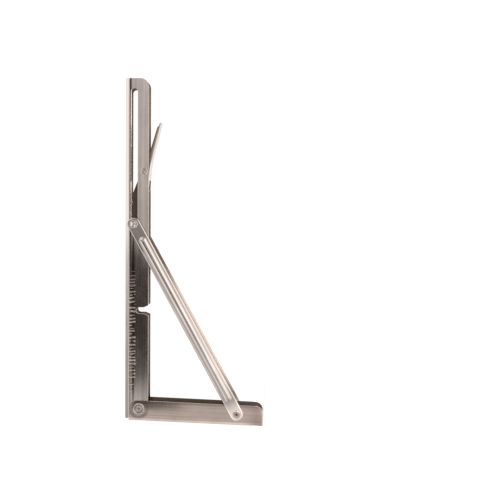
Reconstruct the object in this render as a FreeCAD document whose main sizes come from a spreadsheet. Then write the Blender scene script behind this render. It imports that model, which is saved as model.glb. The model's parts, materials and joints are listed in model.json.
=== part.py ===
"""Folding shelf bracket: a wall channel, a longer arm channel hinged to it, two
ribbed struts between them, and a spring lever in the arm that holds it open.

Frame: X runs out from the wall, Y across the bracket, Z up. The wall plane is X = 0,
the middle plane is Y = 0 and the arm's hinge is at the height Z = 0. Sizes are in mm.
The arm and what it carries are drawn in the arm's own frame: X along the arm from
the hinge, Z from the hinge towards the arm's web.
"""
import FreeCAD, Part
import math
import os
import Sketcher

V = FreeCAD.Vector
SHEET_LABEL = "dims"
SAME_LENGTH = 1e-4
FULL_TURN = 360
HALF_TURN = 180

# Driving sizes, in mm and degrees; a share is a part of a radius
SIZES = {
    # Wall channel
    "plate_length": 118.2,
    "plate_top": 8.6,
    "plate_depth": 17.6,
    "plate_sheet": 2.0,
    "plate_bend": 1.0,
    "plate_end_round": 7.2,
    "plate_foot_round": 6.5,
    "hinge_stand": 10.5,
    "foot_stand": 9.8,
    "foot_drop": 86.6,
    "wall_screw_bore": 5.5,
    "wall_screw_first": 20.0,
    "wall_screw_pitch": 40.0,
    # Arm channel
    "arm_length": 300.0,
    "arm_tail": 8.6,
    "arm_width": 31.6,
    "arm_rise": 12.4,
    "arm_drop": 8.1,
    "arm_sheet": 2.0,
    "arm_bend": 1.5,
    "arm_corner": 7.6,
    "arm_tilt": 2.5,
    "flange_back": 7.7,
    "tail_lip": 2.9,
    "slot_rise": 4.7,
    "slot_width": 6.1,
    "slot_spare_inner": 0.3,
    "slot_spare_outer": 2.3,
    "notch_width": 5.6,
    "notch_mouth": 9.2,
    "shelf_screw_bore": 5.5,
    "shelf_screw_first": 30.0,
    "shelf_screw_pitch": 120.0,
    # Struts
    "strut_span": 190.7,
    "strut_width": 11.2,
    "strut_sheet": 2.0,
    "strut_edge_round": 0.9,
    "bead_width": 6.9,
    "bead_rise": 1.5,
    "bead_wall": 1.8,
    "bead_margin": 13.5,
    "bead_root_round": 0.7,
    # Release lever, drawn from its pivot
    "lever_pivot_run": 209.4,
    "lever_pivot_drop": 4.0,
    "lever_width": 23.6,
    "lever_sheet": 1.5,
    "lever_bend": 2.2,
    "thumb_reach": 43.0,
    "thumb_drop": 15.0,
    "thumb_knee_run": 18.3,
    "thumb_knee_drop": 8.7,
    "thumb_root_run": 3.7,
    "thumb_root_drop": 5.5,
    "thumb_curve": 60.0,
    "thumb_corner": 3.0,
    "thumb_lip": 2.3,
    "thumb_flange": 3.3,
    "web_back": 8.0,
    "web_back_thin": 0.5,
    "prong_reach": 43.2,
    "prong_rise": 10.5,
    "prong_deep": 6.5,
    "prong_head": 22.6,
    "boss_rise": 5.3,
    "boss_blend": 5.3,
    # Rivets and pins
    "hinge_shank": 6.0,
    "hinge_head": 9.8,
    "foot_shank": 4.8,
    "foot_head": 6.8,
    "slide_shank": 5.92,
    "slide_head": 7.2,
    "slide_inner_head": 8.2,
    "slide_inner_rise": 1.5,
    "lever_shank": 4.0,
    "lever_head": 6.2,
    "head_rise": 1.7,
    "head_floor_rise": 0.6,
    "head_edge": 0.3,
    "head_shoulder": 0.9,
    "head_bowl_round": 3.5,
    "head_ring_share": 0.76,
    "head_boss_share": 0.56,
    "head_dimple_share": 0.26,
    "head_lip_share": 0.84,
    "head_bowl_share": 0.4,
    # Rings
    "hinge_washer_width": 12.0,
    "slide_spacer_width": 9.4,
    "lever_spacer_width": 7.6,
    # Spring
    "spring_wire": 1.0,
    "spring_knuckle": 1.04,
    "spring_gap": 0.5,
    "spring_pitch": 1.4,
    "spring_turns": 5.0,
    "spring_reach": 32.0,
    # Clearances
    "nest_gap": 0.6,
    "side_gap": 0.1,
    "strut_gap": 0.3,
    "run_fit": 0.08,
    "seat_fit": 0.03,
}

# Sizes that follow from the driving ones
DERIVED = {
    "plate_foot": "=plate_length - plate_top",
    "arm_half": "=arm_width / 2",
    "arm_inner_half": "=arm_half - arm_sheet",
    "arm_reach": "=arm_length - arm_tail",
    "arm_web_in": "=arm_rise - arm_sheet",
    "arm_bend_out": "=arm_bend + arm_sheet",
    "arm_cut_top": "=arm_rise - tail_lip",
    "arm_far_drop": "=arm_drop + arm_rise",
    "arm_far_tail": "=arm_tail + arm_rise",
    "plate_inner_half": "=arm_half + nest_gap",
    "plate_half": "=plate_inner_half + plate_sheet",
    "plate_bend_out": "=plate_bend + plate_sheet",
    "strut_in": "=plate_half + strut_gap",
    "strut_out": "=strut_in + strut_sheet",
    "strut_round": "=strut_width / 2",
    "bead_half": "=bead_width / 2",
    "bead_start": "=bead_margin + bead_half",
    "bead_end": "=strut_span - bead_margin - bead_half",
    "bead_run": "=bead_end - bead_start",
    "bead_top": "=strut_sheet + bead_rise",
    "bead_radius": "=(bead_half ^ 2 + bead_rise ^ 2) / (2 * bead_rise)",
    "bead_hollow_top": "=bead_top - bead_wall",
    "bead_hollow_radius": "=bead_radius - bead_wall",
    "bead_hollow_half": "=sqrt(bead_hollow_radius ^ 2 - (bead_hollow_radius - bead_hollow_top) ^ 2)",
    "wall_screw_radius": "=wall_screw_bore / 2",
    "shelf_screw_radius": "=shelf_screw_bore / 2",
    "foot_offset": "=foot_stand - hinge_stand",
    "foot_run": "=foot_offset * cos(arm_tilt * 1deg) - foot_drop * sin(arm_tilt * 1deg)",
    "foot_fall": "=foot_offset * sin(arm_tilt * 1deg) + foot_drop * cos(arm_tilt * 1deg)",
    "pin_open": "=foot_run + sqrt(strut_span ^ 2 - (slot_rise + foot_fall) ^ 2)",
    "pin_folded": "=foot_drop + sqrt(strut_span ^ 2 - (slot_rise - foot_offset) ^ 2)",
    "slot_start": "=pin_open - slot_spare_inner",
    "slot_stop": "=pin_folded + slot_spare_outer",
    "slot_half": "=slot_width / 2",
    "notch_half": "=notch_width / 2",
    "notch_mouth_half": "=notch_mouth / 2",
    "notch_near": "=foot_drop - notch_half",
    "notch_far": "=foot_drop + notch_half",
    "notch_mouth_near": "=foot_drop - notch_mouth_half",
    "notch_mouth_far": "=foot_drop + notch_mouth_half",
    "notch_past": "=arm_drop + notch_half",
    "notch_flare": "=arm_drop / 2",
    "hinge_radius": "=hinge_shank / 2",
    "hinge_bore": "=hinge_radius + run_fit",
    "hinge_seat": "=hinge_radius + seat_fit",
    "foot_radius": "=foot_shank / 2",
    "foot_seat": "=foot_radius + seat_fit",
    "slide_radius": "=slide_shank / 2",
    "slide_bore": "=slide_radius + run_fit",
    "slide_seat": "=slide_radius + seat_fit",
    "lever_radius": "=lever_shank / 2",
    "lever_bore": "=lever_radius + run_fit",
    "lever_seat": "=lever_radius + seat_fit",
    "lever_half": "=lever_width / 2",
    "lever_clear_width": "=lever_width - 2 * lever_sheet",
    "hinge_washer_radius": "=hinge_washer_width / 2",
    "hinge_washer_in": "=arm_half + side_gap",
    "slide_spacer_radius": "=slide_spacer_width / 2",
    "slide_spacer_in": "=arm_half + side_gap",
    "slide_spacer_out": "=strut_in - side_gap",
    "lever_spacer_radius": "=lever_spacer_width / 2",
    "lever_spacer_in": "=lever_half + side_gap",
    "slide_inner_face": "=arm_inner_half - side_gap",
    "slide_inner_end": "=slide_inner_face - slide_inner_rise",
    "slide_head_face": "=strut_out + side_gap",
    "slide_inner_radius": "=slide_inner_head / 2",
    # Release lever, from its pivot
    "thumb_slope": "=(thumb_drop - thumb_knee_drop) / (thumb_reach - thumb_knee_run)",
    "thumb_length": "=sqrt(1 + thumb_slope ^ 2)",
    "lip_run": "=thumb_reach - thumb_lip",
    "lip_top_drop": "=thumb_drop - lever_sheet",
    "lip_root_drop": "=lip_top_drop - thumb_lip * thumb_slope",
    "flange_end_run": "=lip_run - thumb_flange / 2",
    "flange_end_drop": "=lip_root_drop - thumb_flange / 2",
    "flange_back_run": "=thumb_knee_run - lever_sheet",
    "flange_back_drop": "=thumb_knee_drop - thumb_flange - lever_sheet / 2",
    "boss_run": "=thumb_root_run + lever_sheet",
    "boss_back": "=boss_rise + lever_sheet",
    "boss_foot": "=prong_head - prong_rise / 2",
    "prong_low": "=prong_rise - prong_deep - lever_sheet",
    "prong_shoulder": "=prong_head - lever_bend",
    "belly_drop": "=thumb_root_drop - lever_sheet",
    "web_in_tip": "=thumb_drop + thumb_slope * lever_sheet - lever_sheet * thumb_length",
    "web_far_run": "=thumb_reach + lever_sheet",
    "web_in_knee": "=thumb_knee_drop - lever_sheet",
    "web_in_root": "=thumb_root_drop - lever_sheet",
    "web_in_back": "=web_in_root - web_back_thin",
    "inside_far": "=prong_reach + lever_sheet",
    "inside_low": "=thumb_drop + lever_sheet",
    "inside_high": "=prong_rise + lever_sheet",
}

WALL_SCREWS = 3
SHELF_SCREWS = 3


def head_sizes(radius, width, face, circles):
    """Names the heights of one riveted head and the radii of the circles formed on it."""
    sizes = {
        radius: f"={width} / 2",
        f"{radius}_top": f"={face} + head_rise",
        f"{radius}_floor": f"={face} + head_floor_rise",
    }
    for circle in circles:
        sizes[f"{radius}_{circle}"] = f"={radius} * head_{circle}_share"
    return sizes


RINGED = ("ring", "boss", "dimple")
DISHED = ("lip", "bowl")
DOMED = ("dimple",)
DERIVED.update(head_sizes("hinge_head_radius", "hinge_head", "plate_half", RINGED))
DERIVED.update(head_sizes("lever_head_radius", "lever_head", "arm_half", RINGED))
DERIVED.update(head_sizes("slide_head_radius", "slide_head", "slide_head_face", DISHED))
DERIVED.update(head_sizes("foot_head_radius", "foot_head", "strut_out", DOMED))


def make_sheet(doc):
    """Puts every driving and derived size into the document's sheet."""
    sheet = doc.addObject("Spreadsheet::Sheet", SHEET_LABEL)
    cells = [(name, str(number)) for name, number in SIZES.items()]
    cells += list(DERIVED.items())
    for row, (name, content) in enumerate(cells, start=1):
        sheet.set(f"A{row}", name)
        sheet.set(f"B{row}", content)
        sheet.setAlias(f"B{row}", name)
    doc.recompute()
    return sheet


def value(sheet, name):
    """Reads a size by name. A leading minus turns its sign."""
    if name == "0":
        return 0.0
    if name.startswith("-"):
        return -float(getattr(sheet, name[1:]))
    return float(getattr(sheet, name))


def cell(name):
    """Gives the expression that ties a property to a named size."""
    if name.startswith("-"):
        return f"-{SHEET_LABEL}.{name[1:]}"
    return f"{SHEET_LABEL}.{name}"


def new_body(sheet, label):
    """Starts a sub-part."""
    body = sheet.Document.addObject("PartDesign::Body", label)
    body.Label = label
    return body


def new_sketch(sheet, body, name, role, offset=None):
    """Starts a sketch on one of the body's own planes, moved along its normal by a named size."""
    plane = next(f for f in body.Origin.OriginFeatures if f.Role == role)
    sketch = body.newObject("Sketcher::SketchObject", name)
    sketch.AttachmentSupport = [(plane, "")]
    sketch.MapMode = "FlatFace"
    if offset:
        sketch.AttachmentOffset = FreeCAD.Placement(V(0, 0, value(sheet, offset)), FreeCAD.Rotation())
        sketch.setExpression("AttachmentOffset.Base.z", cell(offset))
    return sketch


def tie_point(sheet, sketch, geometry, vertex, x, y):
    """Ties a sketch point to two named distances from the origin."""
    for axis, kind, name in ((-2, "DistanceX", x), (-1, "DistanceY", y)):
        if name == "0":
            sketch.addConstraint(Sketcher.Constraint("PointOnObject", geometry, vertex, axis))
            continue
        number = value(sheet, name)
        index = sketch.addConstraint(Sketcher.Constraint(kind, -1, 1, geometry, vertex, number))
        sketch.setExpression(f"Constraints[{index}]", cell(name))


def tie_radius(sheet, sketch, geometry, name):
    """Ties the radius of a circle or an arc to a named size."""
    index = sketch.addConstraint(Sketcher.Constraint("Radius", geometry, value(sheet, name)))
    sketch.setExpression(f"Constraints[{index}]", cell(name))


def add_circle(sheet, sketch, x, y, radius):
    """Draws a circle with a named centre and radius."""
    centre = V(value(sheet, x), value(sheet, y), 0)
    circle = sketch.addGeometry(Part.Circle(centre, V(0, 0, 1), value(sheet, radius)), False)
    tie_point(sheet, sketch, circle, 3, x, y)
    tie_radius(sheet, sketch, circle, radius)


def add_arc(sketch, centre, radius, start, end):
    """Draws an anticlockwise arc between two angles."""
    circle = Part.Circle(centre, V(0, 0, 1), radius)
    return sketch.addGeometry(Part.ArcOfCircle(circle, start, end), False)


def add_slot(sheet, sketch, x_start, x_end, y, radius):
    """Draws a slot along X between two named end centres."""
    left = V(value(sheet, x_start), value(sheet, y), 0)
    right = V(value(sheet, x_end), value(sheet, y), 0)
    size = value(sheet, radius)
    up = V(0, size, 0)
    quarter = math.pi / 2
    left_end = add_arc(sketch, left, size, quarter, 3 * quarter)
    right_end = add_arc(sketch, right, size, -quarter, quarter)
    bottom = sketch.addGeometry(Part.LineSegment(left - up, right - up), False)
    top = sketch.addGeometry(Part.LineSegment(right + up, left + up), False)
    joints = ((left_end, 2, bottom, 1), (bottom, 2, right_end, 1),
              (right_end, 2, top, 1), (top, 2, left_end, 1))
    for first, first_end, second, second_end in joints:
        sketch.addConstraint(Sketcher.Constraint("Tangent", first, first_end, second, second_end))
    sketch.addConstraint(Sketcher.Constraint("Equal", left_end, right_end))
    tie_radius(sheet, sketch, left_end, radius)
    tie_point(sheet, sketch, left_end, 3, x_start, y)
    tie_point(sheet, sketch, right_end, 3, x_end, y)


def rounded_corner(before, corner, after, radius):
    """Works out where an arc of this radius leaves the two sides of a corner."""
    to_before = (before - corner).normalize()
    to_after = (after - corner).normalize()
    half_angle = to_before.getAngle(to_after) / 2
    cut_back = radius / math.tan(half_angle)
    middle = (to_before + to_after).normalize()
    centre = corner + middle * (radius / math.sin(half_angle))
    return corner + to_before * cut_back, corner + to_after * cut_back, centre


def add_outline(sheet, sketch, corners):
    """Draws a closed outline. Each corner is (x, y) or (x, y, radius), all by name."""
    points = [V(value(sheet, corner[0]), value(sheet, corner[1]), 0) for corner in corners]
    count = len(corners)
    entries = list(points)
    exits = list(points)
    centres = {}
    for index, corner in enumerate(corners):
        if len(corner) == 3:
            before = points[index - 1]
            after = points[(index + 1) % count]
            radius = value(sheet, corner[2])
            entries[index], exits[index], centres[index] = rounded_corner(before, points[index], after, radius)
    sides = []
    for index in range(count):
        side = Part.LineSegment(exits[index], entries[(index + 1) % count])
        sides.append(sketch.addGeometry(side, False))
    for index, corner in enumerate(corners):
        into, away = sides[index - 1], sides[index]
        if index not in centres:
            sketch.addConstraint(Sketcher.Constraint("Coincident", into, 2, away, 1))
            tie_point(sheet, sketch, away, 1, corner[0], corner[1])
            continue
        round_corner(sheet, sketch, corner, points[index], centres[index], into, away,
                     entries[index], exits[index])


def round_corner(sheet, sketch, corner, point, centre, into, away, entry, leave):
    """Adds the arc of one rounded corner, tangent to both sides, and ties the sharp corner."""
    start, end = entry - centre, leave - centre
    turns_left = start.cross(end).z > 0
    first, last = (start, end) if turns_left else (end, start)
    radius = value(sheet, corner[2])
    arc = add_arc(sketch, centre, radius, math.atan2(first.y, first.x), math.atan2(last.y, last.x))
    enters, leaves = (1, 2) if turns_left else (2, 1)
    sketch.addConstraint(Sketcher.Constraint("Tangent", into, 2, arc, enters))
    sketch.addConstraint(Sketcher.Constraint("Tangent", arc, leaves, away, 1))
    tie_radius(sheet, sketch, arc, corner[2])
    sharp = sketch.addGeometry(Part.Point(point), True)
    tie_point(sheet, sketch, sharp, 1, corner[0], corner[1])
    sketch.addConstraint(Sketcher.Constraint("PointOnObject", sharp, 1, into))
    sketch.addConstraint(Sketcher.Constraint("PointOnObject", sharp, 1, away))


def add_pad(body, name, sketch, length, symmetric=False):
    """Pads a sketch by a named length, on one side or evenly on both."""
    pad = body.newObject("PartDesign::Pad", name)
    pad.Profile = sketch
    pad.SideType = "Symmetric" if symmetric else "One side"
    pad.setExpression("Length", cell(length))
    body.Document.recompute()
    return pad


def add_cut(body, name, sketch, length=None, symmetric=False, reverse=False):
    """Cuts a sketch through the whole body, or as deep as a named length."""
    before = body.Shape.Volume
    pocket = body.newObject("PartDesign::Pocket", name)
    pocket.Profile = sketch
    pocket.SideType = "Symmetric" if symmetric else "One side"
    pocket.Reversed = reverse
    if length:
        pocket.Type = "Length"
        pocket.setExpression("Length", cell(length))
    else:
        pocket.Type = "ThroughAll"
    body.Document.recompute()
    if body.Shape.Volume >= before:
        raise RuntimeError(f"{body.Label}: {name} cuts nothing")
    return pocket


def add_round(body, name, radius, wanted):
    """Rounds the edges that a test picks, by a named radius."""
    tip = body.Tip
    names = [f"Edge{number}" for number, edge in enumerate(tip.Shape.Edges, start=1) if wanted(edge)]
    if not names:
        raise RuntimeError(f"{body.Label}: {name} finds no edge")
    fillet = body.newObject("PartDesign::Fillet", name)
    fillet.Base = (tip, names)
    fillet.setExpression("Radius", cell(radius))
    body.Document.recompute()
    return fillet


def edge_middle(edge):
    """Gives the point halfway along an edge."""
    return edge.valueAt((edge.FirstParameter + edge.LastParameter) / 2)


def near(first, second):
    """Tells whether two lengths are the same."""
    return abs(first - second) < SAME_LENGTH


def corner_test(x, z):
    """Makes a test for edges that run across the bracket through a given corner."""
    def wanted(edge):
        ends = [vertex.Point for vertex in edge.Vertexes]
        return all(near(point.x, x) and near(point.z, z) for point in ends)
    return wanted


def add_crown(sheet, sketch, form, whole):
    """Draws the section of a crowned form, a flat floor under an arc, or only its right half.
    The form names its half width, floor, edge height, top and the arc's radius."""
    half, floor, edge, top, radius = form
    left, left_edge = (f"-{half}", edge) if whole else ("0", top)
    size = value(sheet, radius)
    centre = V(0, value(sheet, top) - size, 0)
    places = [(left, floor), (half, floor), (half, edge), (left, left_edge)]
    points = [V(value(sheet, x), value(sheet, y), 0) for x, y in places]
    lines = [sketch.addGeometry(Part.LineSegment(points[first], points[second]), False)
             for first, second in ((3, 0), (0, 1), (1, 2))]
    start, end = points[2] - centre, points[3] - centre
    arc = add_arc(sketch, centre, size, math.atan2(start.y, start.x), math.atan2(end.y, end.x))
    for into, away, place in zip(lines + [arc], lines[1:] + [arc, lines[0]], places):
        sketch.addConstraint(Sketcher.Constraint("Coincident", into, 2, away, 1))
        tie_point(sheet, sketch, away, 1, place[0], place[1])
    tie_radius(sheet, sketch, arc, radius)


def add_turn(body, name, sketch, angle=FULL_TURN, reverse=False, kind="PartDesign::Revolution"):
    """Turns a profile about the sketch's upright axis, to add or to cut."""
    before = body.Shape.Volume if body.Tip else 0
    turn = body.newObject(kind, name)
    turn.Profile = sketch
    turn.ReferenceAxis = (sketch, ["V_Axis"])
    turn.Angle = angle
    turn.Reversed = reverse
    body.Document.recompute()
    if near(body.Shape.Volume, before):
        raise RuntimeError(f"{body.Label}: {name} changes nothing")
    return turn


def arm_placement(sheet):
    """Places the arm's frame at the hinge, tilted up from level."""
    tilt = FreeCAD.Rotation(V(0, 1, 0), -value(sheet, "arm_tilt"))
    return FreeCAD.Placement(V(value(sheet, "hinge_stand"), 0, 0), tilt)


def across(origin, side):
    """Stands a turned piece's axis across the bracket, outwards to side -1 (front) or +1 (back)."""
    outward = V(0, side, 0)
    turn = FreeCAD.Rotation(V(1, 0, 0), outward.cross(V(1, 0, 0)), outward, "ZXY")
    return FreeCAD.Placement(origin, turn)


def on_arm(sheet, run, rise):
    """Gives the point of the middle plane at a named run and rise in the arm's frame."""
    return arm_placement(sheet).multVec(V(value(sheet, run), 0, value(sheet, rise)))


def foot_point(sheet):
    """Gives the centre of the struts' foot in the middle plane."""
    return V(value(sheet, "foot_stand"), 0, -value(sheet, "foot_drop"))


def hinge_point(sheet):
    """Gives the centre of the arm's hinge in the middle plane."""
    return V(value(sheet, "hinge_stand"), 0, 0)


def build_wall_plate(sheet):
    """The short channel that screws to the wall."""
    body = new_body(sheet, "wall_plate")
    section = new_sketch(sheet, body, "plate_section", "XY_Plane", "-plate_foot")
    add_outline(sheet, section, [
        ("0", "-plate_half", "plate_bend_out"),
        ("plate_depth", "-plate_half"),
        ("plate_depth", "-plate_inner_half"),
        ("plate_sheet", "-plate_inner_half", "plate_bend"),
        ("plate_sheet", "plate_inner_half", "plate_bend"),
        ("plate_depth", "plate_inner_half"),
        ("plate_depth", "plate_half"),
        ("0", "plate_half", "plate_bend_out"),
    ])
    add_pad(body, "channel", section, "plate_length")
    depth = value(sheet, "plate_depth")
    add_round(body, "hinge_ends", "plate_end_round", corner_test(depth, value(sheet, "plate_top")))
    add_round(body, "foot_ends", "plate_foot_round", corner_test(depth, -value(sheet, "plate_foot")))
    pins = new_sketch(sheet, body, "pin_holes", "XZ_Plane")
    add_circle(sheet, pins, "hinge_stand", "0", "hinge_seat")
    add_circle(sheet, pins, "foot_stand", "-foot_drop", "foot_seat")
    add_cut(body, "pin_bores", pins, symmetric=True)
    screws = new_sketch(sheet, body, "screw_hole", "YZ_Plane")
    add_circle(sheet, screws, "0", "-wall_screw_first", "wall_screw_radius")
    first = add_cut(body, "screw_bore", screws, "plate_sheet", reverse=True)
    row = body.newObject("PartDesign::LinearPattern", "screw_row")
    row.Originals = [first]
    row.Direction = (screws, ["V_Axis"])
    row.Reversed = True
    row.Mode = "Spacing"
    row.Occurrences = WALL_SCREWS
    row.setExpression("Offset", cell("wall_screw_pitch"))
    body.Tip = row
    return body


def build_arm(sheet):
    """The long channel that carries the shelf: slots for the struts' pins, and notches
    that pass over the foot pin when it is folded."""
    body = new_body(sheet, "arm")
    section = new_sketch(sheet, body, "arm_section", "YZ_Plane", "-arm_tail")
    add_outline(sheet, section, [
        ("-arm_half", "-arm_drop"),
        ("-arm_inner_half", "-arm_drop"),
        ("-arm_inner_half", "arm_web_in", "arm_bend"),
        ("arm_inner_half", "arm_web_in", "arm_bend"),
        ("arm_inner_half", "-arm_drop"),
        ("arm_half", "-arm_drop"),
        ("arm_half", "arm_rise", "arm_bend_out"),
        ("-arm_half", "arm_rise", "arm_bend_out"),
    ])
    add_pad(body, "channel", section, "arm_length")
    tail = new_sketch(sheet, body, "tail_outline", "XZ_Plane")
    add_outline(sheet, tail, [
        ("-arm_far_tail", "-arm_far_drop"),
        ("-flange_back", "-arm_far_drop"),
        ("-flange_back", "arm_cut_top"),
        ("-arm_far_tail", "arm_cut_top"),
    ])
    add_cut(body, "tail_cut", tail, symmetric=True)
    drop = -value(sheet, "arm_drop")
    add_round(body, "hinge_ends", "flange_back", corner_test(-value(sheet, "flange_back"), drop))
    add_round(body, "outer_ends", "arm_corner", corner_test(value(sheet, "arm_reach"), drop))
    slots = new_sketch(sheet, body, "slot_outline", "XZ_Plane")
    add_slot(sheet, slots, "slot_start", "slot_stop", "slot_rise", "slot_half")
    add_cut(body, "slots", slots, symmetric=True)
    pins = new_sketch(sheet, body, "pin_holes", "XZ_Plane")
    add_circle(sheet, pins, "0", "0", "hinge_bore")
    add_circle(sheet, pins, "lever_pivot_run", "-lever_pivot_drop", "lever_seat")
    add_cut(body, "pin_bores", pins, symmetric=True)
    add_notch(sheet, body)
    screws = new_sketch(sheet, body, "screw_hole", "XY_Plane")
    add_circle(sheet, screws, "shelf_screw_first", "0", "shelf_screw_radius")
    first = add_cut(body, "screw_bore", screws, reverse=True)
    row = body.newObject("PartDesign::LinearPattern", "screw_row")
    row.Originals = [first]
    row.Direction = (screws, ["H_Axis"])
    row.Mode = "Spacing"
    row.Occurrences = SHELF_SCREWS
    row.setExpression("Offset", cell("shelf_screw_pitch"))
    body.Tip = row
    body.Placement = arm_placement(sheet)
    return body


def add_notch(sheet, body):
    """Cuts the notch in both arm flanges: a round end over the foot pin and a flared mouth."""
    bottom = new_sketch(sheet, body, "notch_end", "XZ_Plane")
    add_circle(sheet, bottom, "foot_drop", "0", "notch_half")
    add_cut(body, "notch_round", bottom, symmetric=True)
    mouth = new_sketch(sheet, body, "notch_mouth", "XZ_Plane")
    add_outline(sheet, mouth, [
        ("notch_near", "0"),
        ("notch_near", "-notch_flare"),
        ("notch_mouth_near", "-arm_drop"),
        ("notch_mouth_near", "-notch_past"),
        ("notch_mouth_far", "-notch_past"),
        ("notch_mouth_far", "-arm_drop"),
        ("notch_far", "-notch_flare"),
        ("notch_far", "0"),
    ])
    add_cut(body, "notch_mouths", mouth, symmetric=True)


def build_strut(sheet, label, side):
    """One strut: a round-ended bar with a long pressed bead, hollow on its inner face.
    Its own frame has X from the slide rivet to the foot and Z outwards."""
    body = new_body(sheet, label)
    outline = new_sketch(sheet, body, "bar_outline", "XY_Plane")
    add_slot(sheet, outline, "0", "strut_span", "0", "strut_round")
    add_pad(body, "bar", outline, "strut_sheet")
    outer = value(sheet, "strut_sheet")
    add_round(body, "bar_edge", "strut_edge_round",
              lambda edge: all(near(vertex.Point.z, outer) for vertex in edge.Vertexes))
    run = new_sketch(sheet, body, "bead_section", "YZ_Plane", "bead_start")
    add_crown(sheet, run, BEAD_OUTSIDE, whole=True)
    add_pad(body, "bead_run", run, "bead_run")
    add_bead_ends(sheet, body, "bead", BEAD_OUTSIDE, "PartDesign::Revolution")
    add_round(body, "bead_root", "bead_root_round", bead_root_test(outer, value(sheet, "bead_half")))
    hollow = new_sketch(sheet, body, "hollow_section", "YZ_Plane", "bead_start")
    add_crown(sheet, hollow, BEAD_INSIDE, whole=True)
    add_cut(body, "hollow_run", hollow, "bead_run", reverse=True)
    add_bead_ends(sheet, body, "hollow", BEAD_INSIDE, "PartDesign::Groove")
    holes = new_sketch(sheet, body, "pin_holes", "XY_Plane")
    add_circle(sheet, holes, "0", "0", "slide_bore")
    add_circle(sheet, holes, "strut_span", "0", "foot_seat")
    add_cut(body, "pin_bores", holes, reverse=True)
    body.Placement = strut_placement(sheet, side)
    return body


# The bead's crowned forms: half width, floor, edge height, top and radius
BEAD_OUTSIDE = ("bead_half", "0", "strut_sheet", "bead_top", "bead_radius")
BEAD_INSIDE = ("bead_hollow_half", "-bead_wall", "0", "bead_hollow_top", "bead_hollow_radius")


def add_bead_ends(sheet, body, name, form, kind):
    """Closes both ends of the bead with half a dome, outside or in its hollow back."""
    for end, reverse in (("start", False), ("end", True)):
        half = new_sketch(sheet, body, f"{name}_{end}_section", "YZ_Plane", f"bead_{end}")
        add_crown(sheet, half, form, whole=False)
        add_turn(body, f"{name}_{end}", half, HALF_TURN, reverse, kind)


def bead_root_test(height, half_width):
    """Makes a test for the edges round the foot of a strut's bead."""
    def wanted(edge):
        ends = [vertex.Point for vertex in edge.Vertexes]
        return all(near(point.z, height) and near(abs(point.y), half_width) for point in ends)
    return wanted


def strut_placement(sheet, side):
    """Lays a strut from the slide rivet to the foot, with its inner face beside the channels."""
    upper = on_arm(sheet, "pin_open", "slot_rise")
    along = (foot_point(sheet) - upper).normalize()
    outward = V(0, side, 0)
    turn = FreeCAD.Rotation(along, outward.cross(along), outward, "ZXY")
    return FreeCAD.Placement(upper + outward * value(sheet, "strut_in"), turn)


def build_lever(sheet):
    """The release lever: a folded channel with a thumb end outside the arm and two prongs
    that reach the slide rivets. It is drawn from its pivot, in the arm's directions."""
    body = new_body(sheet, "release_lever")
    side_view = new_sketch(sheet, body, "lever_outline", "XZ_Plane")
    add_outline(sheet, side_view, LEVER_OUTLINE)
    add_pad(body, "lever_blank", side_view, "lever_width", symmetric=True)
    add_round(body, "lever_bends", "lever_bend", lever_bend_test(sheet))
    inside = new_sketch(sheet, body, "lever_inside", "XZ_Plane")
    add_outline(sheet, inside, LEVER_INSIDE)
    add_cut(body, "lever_hollow", inside, "lever_clear_width", symmetric=True)
    bore = new_sketch(sheet, body, "pivot_hole", "XZ_Plane")
    add_circle(sheet, bore, "0", "0", "lever_bore")
    add_cut(body, "pivot_bore", bore, symmetric=True)
    body.Placement = FreeCAD.Placement(on_arm(sheet, "lever_pivot_run", "-lever_pivot_drop"),
                                       arm_placement(sheet).Rotation)
    return body


# Corners of the lever's side view, tip of the prong first, then the belly and thumb
LEVER_OUTLINE = [
    ("-prong_reach", "prong_low"),
    ("-prong_shoulder", "prong_low", "boss_blend"),
    ("-boss_foot", "-belly_drop", "boss_blend"),
    ("thumb_root_run", "-thumb_root_drop", "thumb_curve"),
    ("thumb_knee_run", "-thumb_knee_drop", "thumb_curve"),
    ("thumb_reach", "-thumb_drop"),
    ("thumb_reach", "-lip_top_drop"),
    ("lip_run", "-lip_root_drop"),
    ("flange_end_run", "-flange_end_drop", "thumb_corner"),
    ("flange_back_run", "-flange_back_drop", "boss_blend"),
    ("boss_run", "boss_rise", "boss_blend"),
    ("-boss_back", "boss_rise", "boss_blend"),
    ("-prong_shoulder", "prong_rise", "lever_bend"),
    ("-prong_reach", "prong_rise"),
]

# Corners of the space between the lever's two sides; its lower line is the web's inner face
LEVER_INSIDE = [
    ("-inside_far", "-inside_low"),
    ("-web_back", "-inside_low"),
    ("-web_back", "-web_in_back"),
    ("thumb_root_run", "-web_in_root"),
    ("thumb_knee_run", "-web_in_knee"),
    ("web_far_run", "-web_in_tip"),
    ("web_far_run", "inside_high"),
    ("-inside_far", "inside_high"),
]


def lever_bend_test(sheet):
    """Makes a test for the two long folds of the lever, along its thumb and belly."""
    half = value(sheet, "lever_half")
    floor = [V(value(sheet, "thumb_root_run"), 0, -value(sheet, "thumb_root_drop")),
             V(value(sheet, "thumb_knee_run"), 0, -value(sheet, "thumb_knee_drop")),
             V(value(sheet, "thumb_reach"), 0, -value(sheet, "thumb_drop"))]
    runs = list(zip(floor, floor[1:]))
    slack = value(sheet, "lever_sheet") / 2

    def wanted(edge):
        middle = edge_middle(edge)
        flat = V(middle.x, 0, middle.z)
        on_side = all(near(abs(vertex.Point.y), half) for vertex in edge.Vertexes)
        close = any(flat.distanceToLine(start, end - start) < slack and start.x - slack <= flat.x <= end.x
                    for start, end in runs)
        return on_side and close
    return wanted


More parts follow.
